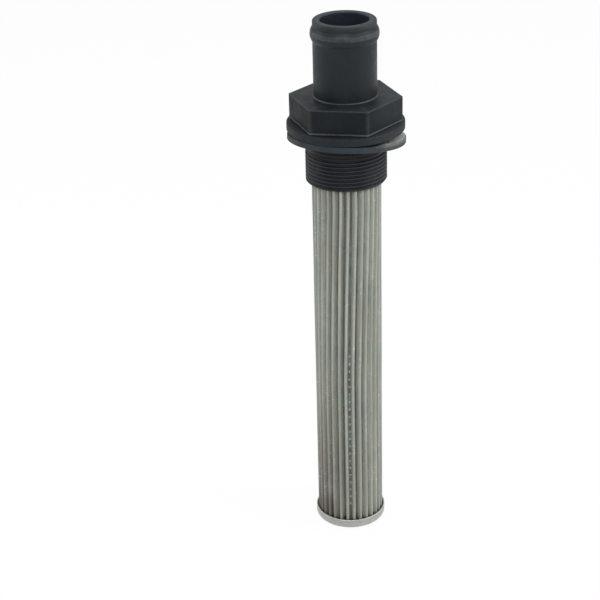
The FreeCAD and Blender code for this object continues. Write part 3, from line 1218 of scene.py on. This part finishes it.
@dataclass
class SeamLap:
    """Narrow lapped strip in the seam's valley, with its row of dished spot welds.

    The weld's section is given in shares of its radius and its depth.
    """

    screen: WireScreen
    # painted shade: the strip's cloth is coloured much darker than the screen's, for the shade in
    # the seam's valley
    cloth: WireCloth = WireCloth(
        name="shaded_lap_cloth", bright=(0.13, 0.13, 0.115), dull=(0.085, 0.085, 0.075),
        stain=(0.03, 0.03, 0.026), valley_fill_crest=(0.45, 1.0, 0.0, 0.0),
        root_shade_crest=(0.02, 0.30, 0.0, 0.0), stain_side=(50.0 * MM, 60.0 * MM, 1.0, 0.1),
    )
    steel: PressedSteel = PressedSteel(
        name="weld_steel", slot="wire_cloth", bright=(0.42, 0.43, 0.395), dull=(0.28, 0.285, 0.26)
    )
    width: float = 2.3 * MM
    thickness: float = 0.3 * MM
    lower_r: float = 17.7 * MM
    upper_r: float = 16.4 * MM
    rise_from: float = 0.35
    margin: float = 2.5 * MM
    cuts: int = 60
    sway: float = 0.045 * MM
    sway_rate: float = 37.0
    weld_pitch: float = 5.3 * MM
    weld_r: float = 0.8 * MM
    weld_depth: float = 0.3 * MM
    weld_section: tuple[Span, ...] = (
        (0.0, 0.1), (0.45, 0.25), (0.72, 1.0), (1.0, 0.55), (1.12, -0.4)
    )
    weld_columns: int = 14
    weld_drift: float = 0.25 * MM
    first_weld: float = -247.2 * MM
    last_weld: float = -139.2 * MM

    def __post_init__(self) -> None:
        """Works out the strip's two ends."""
        self.bottom = self.screen.bottom + self.margin
        self.top = self.screen.top - self.margin

    def place_at(self, height: float) -> tuple[float, float, float]:
        """Where the strip is at a height.

        Args:
            height: The height, in metres.

        Returns:
            Its share of the strip's length, the strip's distance from the axis and its angle.
        """
        share = (height - self.bottom) / (self.top - self.bottom)
        rise = clamped((share - self.rise_from) / (1 - self.rise_from))
        reach = self.lower_r + (self.upper_r - self.lower_r) * rise * rise
        return share, reach, self.screen.seam_direction + self.screen.twist_at(height)

    def strip(self) -> None:
        """Builds the strip."""
        shell = bmesh.new()
        bmesh.ops.create_cube(shell, size=1.0)
        scale = Matrix.Diagonal((self.thickness, self.width, self.top - self.bottom, 1.0))
        place = Matrix.Translation((0, 0, (self.top + self.bottom) / 2))
        bmesh.ops.transform(shell, matrix=place @ scale, verts=shell.verts)
        upright = [edge for edge in shell.edges if edge.verts[0].co.xy == edge.verts[1].co.xy]
        bmesh.ops.subdivide_edges(shell, edges=upright, cuts=self.cuts, use_grid_fill=True)
        cloth_map = shell.loops.layers.uv.new("cloth")
        for face in shell.faces:
            for loop in face.loops:
                loop[cloth_map].uv = (loop.vert.co.y, loop.vert.co.z)
        for vert in shell.verts:
            share, reach, angle = self.place_at(vert.co.z)
            outwards = around(angle)
            across = Vector((-outwards.y, outwards.x))
            aside = vert.co.y + self.sway * math.sin(share * self.sway_rate)
            vert.co.xy = outwards * (reach + vert.co.x) + across * aside
        bmesh.ops.recalc_face_normals(shell, faces=shell.faces)
        make_piece("seam_lap", shell, self.cloth)

    def welds(self) -> None:
        """Builds the row of spot welds, as one piece."""
        rings = [
            Ring(self.weld_r * radius, self.weld_depth * height)
            for radius, height in self.weld_section
        ]
        row = turn_section(rings, self.weld_columns, closed=False)
        single = [*row.verts, *row.edges, *row.faces]
        count = round((self.last_weld - self.first_weld) / self.weld_pitch) + 1
        copies = [bmesh.ops.duplicate(row, geom=single)["geom"] for _ in range(count - 1)]
        for index, copy in enumerate([single, *copies]):
            height = self.first_weld + index * self.weld_pitch
            _, reach, angle = self.place_at(height)
            drift = self.weld_drift * wobble(index * 1.7, 2.2, 5.1)
            place = (
                Matrix.Rotation(angle, 4, "Z")
                @ Matrix.Translation((reach + self.thickness / 2, drift, height))
                @ Matrix.Rotation(math.radians(90), 4, "Y")
            )
            verts = [item for item in copy if isinstance(item, bmesh.types.BMVert)]
            bmesh.ops.transform(row, matrix=place, verts=verts)
        bmesh.ops.recalc_face_normals(row, faces=row.faces)
        make_piece("seam_welds", row, self.steel)

    def build(self) -> None:
        """Builds the strip and its welds."""
        self.strip()
        self.welds()


@dataclass
class PottingFill:
    """Set resin that holds the screen's two ends and creeps up between the pleats."""

    finish: DarkResin = DarkResin()
    upper_face: float = -30.35 * MM
    lower_face: float = -258.7 * MM
    width: float = 5.6 * MM
    clearance: float = 0.03 * MM
    ripple: float = 0.35 * MM
    ripple_scale: float = 420.0
    half_steps: int = 3
    columns: int = 180

    def ring(self, name: str, node: str, free_face: float) -> None:
        """Builds one ring of resin, which climbs at both of its sides.

        Args:
            name: The piece's name.
            node: The CAD node that it stands for.
            free_face: Height that the resin reaches between the pleats.
        """
        low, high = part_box(node)
        outer = high.x - self.clearance
        inner = outer - self.width
        bound = high.z if free_face < low.z else low.z
        steps = 2 * self.half_steps
        face = [Ring(inner + self.width * step / steps, free_face) for step in range(steps + 1)]
        rings = [*face, Ring(outer, bound), Ring(inner, bound)]
        shell = turn_section(rings, self.columns, closed=True)
        into = 1.0 if free_face < bound else -1.0
        ring_layer = shell.verts.layers.int["ring"]
        for vert in shell.verts:
            if vert[ring_layer] < len(face):
                climb = abs(vert[ring_layer] - self.half_steps) / self.half_steps
                wave = wobble(*(vert.co * self.ripple_scale))
                vert.co.z += self.ripple * (wave - into * climb)
        make_piece(name, shell, self.finish, node)

    def build(self) -> None:
        """Builds both rings."""
        self.ring("upper_resin", "upper_potting", self.upper_face)
        self.ring("lower_resin", "lower_potting", self.lower_face)


@dataclass
class DrawnCap:
    """Cap drawn from sheet steel, with a round recess pressed into its underside.

    The fold is how far the inside's bends lie outside the recess's, in sheets.
    """

    finish: PressedSteel = PressedSteel()
    sheet: float = 0.8 * MM
    edge_round: float = 2.3 * MM
    rim_round: float = 0.3 * MM
    dish_depth: float = 1.8 * MM
    dish_outer_r: float = 13.64 * MM
    dish_inner_r: float = 12.38 * MM
    dish_round: float = 0.75 * MM
    fold: float = 0.4
    dish_wear: float = 0.35
    edge_wear: float = 0.3
    rim_wear: float = 0.9
    inner_rim_wear: float = 0.6
    columns: int = 192

    def __post_init__(self) -> None:
        """Reads the cap's place from the frame."""
        low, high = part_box("end_cap")
        self.outer_r = high.x
        self.bottom = low.z
        self.rim = high.z - self.rim_round

    def outside(self) -> list[Ring]:
        """Rings of the outside, from the pole in the recess to the rim's top."""
        recess = self.bottom + self.dish_depth
        slope = math.atan2(self.dish_depth, self.dish_outer_r - self.dish_inner_r)
        turn = math.degrees(slope)
        reach = self.dish_round * math.tan(slope / 2)
        inner_bend = (self.dish_inner_r - reach, recess - self.dish_round)
        outer_bend = (self.dish_outer_r + reach, self.bottom + self.dish_round)
        edge = (self.outer_r - self.edge_round, self.bottom + self.edge_round)
        rim = (self.outer_r - self.rim_round, self.rim)
        return [
            Ring(0, recess),
            Ring(self.dish_inner_r / 2, recess),
            *arc_rings(inner_bend, self.dish_round, 90, 90 - turn, 4),
            *arc_rings(outer_bend, self.dish_round, 270 - turn, 270, 4, edge=self.dish_wear),
            Ring((self.dish_outer_r + edge[0]) / 2, self.bottom),
            *arc_rings(edge, self.edge_round, -90, 0, 7, edge=self.edge_wear),
            Ring(self.outer_r, self.rim - self.rim_round),
            *arc_rings(rim, self.rim_round, 0, 90, 3, edge=self.rim_wear),
        ]

    def inside(self) -> list[Ring]:
        """Rings of the inside, from the rim's top back to the pole."""
        bore = self.outer_r - self.sheet
        floor = self.bottom + self.sheet
        soft = self.edge_round - self.sheet
        fold = self.sheet * self.fold
        rim = (bore + self.rim_round, self.rim)
        return [
            *arc_rings(rim, self.rim_round, 90, 180, 3, edge=self.inner_rim_wear),
            *arc_rings((bore - soft, floor + soft), soft, 0, -90, 5),
            Ring(self.dish_outer_r + fold, floor),
            Ring(self.dish_inner_r + fold, floor + self.dish_depth),
            Ring(0, floor + self.dish_depth),
        ]

    def build(self) -> None:
        """Builds the cap, which stands for its node."""
        shell = turn_section(self.outside() + self.inside(), self.columns, closed=False)
        make_piece("drawn_cap", shell, self.finish, "end_cap")


@dataclass
class CoreTube:
    """Perforated tube inside the pleats, which keeps its CAD shape."""

    node: str = "core_tube"
    finish: PressedSteel = PressedSteel(
        name="core_steel", slot="core_steel", bright=(0.4, 0.4, 0.39), dull=(0.3, 0.3, 0.29)
    )

    def build(self) -> None:
        """Gives the tube its finish."""
        material = self.finish.material()
        for slot in frame["nodes"][self.node].material_slots:
            slot.material = material
        LOG.info("%s: dressed", self.node)


@dataclass(frozen=True)
class Lamp:
    """A soft rectangular lamp, in metres and watts, that points at the object's middle."""

    name: str
    place: tuple[float, float, float]
    size: Span
    power: float
    aim: tuple[float, float, float] = (0.0, 0.0, -0.1)

    def build(self) -> None:
        """Makes the lamp."""
        data = bpy.data.lights.new(self.name, "AREA")
        data.shape = "RECTANGLE"
        data.size, data.size_y = self.size
        data.energy = self.power
        made = bpy.data.objects.new(self.name, data)
        towards = Vector(self.aim) - Vector(self.place)
        turn = towards.to_track_quat("-Z", "Y").to_matrix().to_4x4()
        made.matrix_world = Matrix.Translation(self.place) @ turn
        bpy.context.scene.collection.objects.link(made)


@dataclass
class Studio:
    """Plain pale floor, white surroundings and soft lamps."""

    floor_size: float = 6.0
    floor_colour: Colour = (0.86, 0.86, 0.86)
    floor_mix: float = 0.94
    sky: float = 0.58
    lamps: tuple[Lamp, ...] = (
        Lamp("front_lamp", (0.05, -1.05, 0.62), (0.9, 0.35), 5.8),
        Lamp("left_lamp", (-1.0, 0.1, 0.5), (0.5, 1.0), 3.0),
        Lamp("right_lamp", (1.0, -0.06, 0.5), (0.6, 1.0), 5.8),
        Lamp("top_lamp", (0.1, 0.25, 1.1), (1.0, 0.8), 5.5),
    )

    def floor_material(self) -> bpy.types.Material:
        """Matt floor that is white where it is seen, and clear from below."""
        made = bpy.data.materials.new("floor")
        made.use_nodes = True
        made.node_tree.nodes.clear()
        wiring = Wiring(made.node_tree)
        path = wiring.add("ShaderNodeLightPath").outputs
        seen = wiring.maths("MAXIMUM", path["Is Camera Ray"], path["Is Glossy Ray"])
        seen = wiring.maths("MAXIMUM", seen, path["Is Transmission Ray"])
        matt = wiring.add("ShaderNodeBsdfDiffuse", {"Color": self.floor_colour}).outputs[0]
        glow = wiring.add("ShaderNodeEmission").outputs[0]
        upper = wiring.mix_shaders(wiring.times(seen, self.floor_mix), matt, glow)
        below = wiring.add("ShaderNodeNewGeometry").outputs["Backfacing"]
        clear = wiring.add("ShaderNodeBsdfTransparent").outputs[0]
        wiring.add("ShaderNodeOutputMaterial", {0: wiring.mix_shaders(below, upper, clear)})
        return made

    def floor(self) -> None:
        """Makes the floor, under the object's lowest point."""
        shell = bmesh.new()
        bmesh.ops.create_grid(shell, x_segments=1, y_segments=1, size=self.floor_size / 2)
        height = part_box("end_cap")[0].z
        bmesh.ops.translate(shell, vec=(0, 0, height), verts=shell.verts)
        mesh = bpy.data.meshes.new("floor")
        shell.to_mesh(mesh)
        shell.free()
        mesh.materials.append(self.floor_material())
        ground = bpy.data.objects.new("floor", mesh)
        bpy.context.scene.collection.objects.link(ground)

    def world(self) -> None:
        """Makes the world white where it is seen, and a soft light elsewhere."""
        world = bpy.data.worlds.new("studio")
        world.use_nodes = True
        bpy.context.scene.world = world
        wiring = Wiring(world.node_tree)
        back = world.node_tree.nodes["Background"]
        path = wiring.add("ShaderNodeLightPath").outputs
        seen = wiring.maths("MAXIMUM", path["Is Camera Ray"], path["Is Transmission Ray"])
        wiring.feed(back.inputs["Color"], (1.0, 1.0, 1.0))
        wiring.feed(back.inputs["Strength"], wiring.ramp(seen, 0.0, 1.0, self.sky, 1.0))

    def build(self) -> None:
        """Makes the floor, the world and the lamps."""
        self.floor()
        self.world()
        for lamp in self.lamps:
            lamp.build()


@dataclass
class PhotoCamera:
    """Camera at the photograph's place, solved from the object's own sizes."""

    focal: float = 93.76
    sensor: float = 36.0
    fit_turn: float = math.radians(7.93)
    place: tuple[float, float, float] = (0.0, -0.8550, 0.3085)
    pitch: float = 0.4561
    heading: float = -0.0342
    roll: float = -0.028

    def build(self) -> None:
        """Makes the camera and gives it to the scene."""
        forward = Vector((
            math.sin(self.heading) * math.cos(self.pitch),
            math.cos(self.heading) * math.cos(self.pitch),
            -math.sin(self.pitch),
        ))
        level = Vector((math.cos(self.heading), -math.sin(self.heading), 0))
        upward = level.cross(forward)
        right = math.cos(self.roll) * level + math.sin(self.roll) * upward
        top = math.cos(self.roll) * upward - math.sin(self.roll) * level
        axes = Matrix((right, top, -forward)).transposed().to_4x4()
        data = bpy.data.cameras.new("camera")
        data.lens = self.focal
        data.sensor_width = self.sensor
        camera = bpy.data.objects.new("camera", data)
        turn = Matrix.Rotation(self.fit_turn, 4, "Z")
        camera.matrix_world = turn @ Matrix.Translation(self.place) @ axes
        bpy.context.scene.collection.objects.link(camera)
        bpy.context.scene.camera = camera


def main() -> None:
    """Builds the strainer's pieces in order."""
    logging.basicConfig(level=logging.INFO, format="%(name)s: %(message)s")
    bpy.context.scene.view_settings.view_transform = "Standard"
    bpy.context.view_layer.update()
    PhotoCamera().build()
    Studio().build()
    MouldedFitting().build()
    RubberWasher().build()
    screen = WireScreen()
    screen.build()
    SeamLap(screen).build()
    PottingFill().build()
    DrawnCap().build()
    CoreTube().build()


if __name__ == "__main__":
    main()
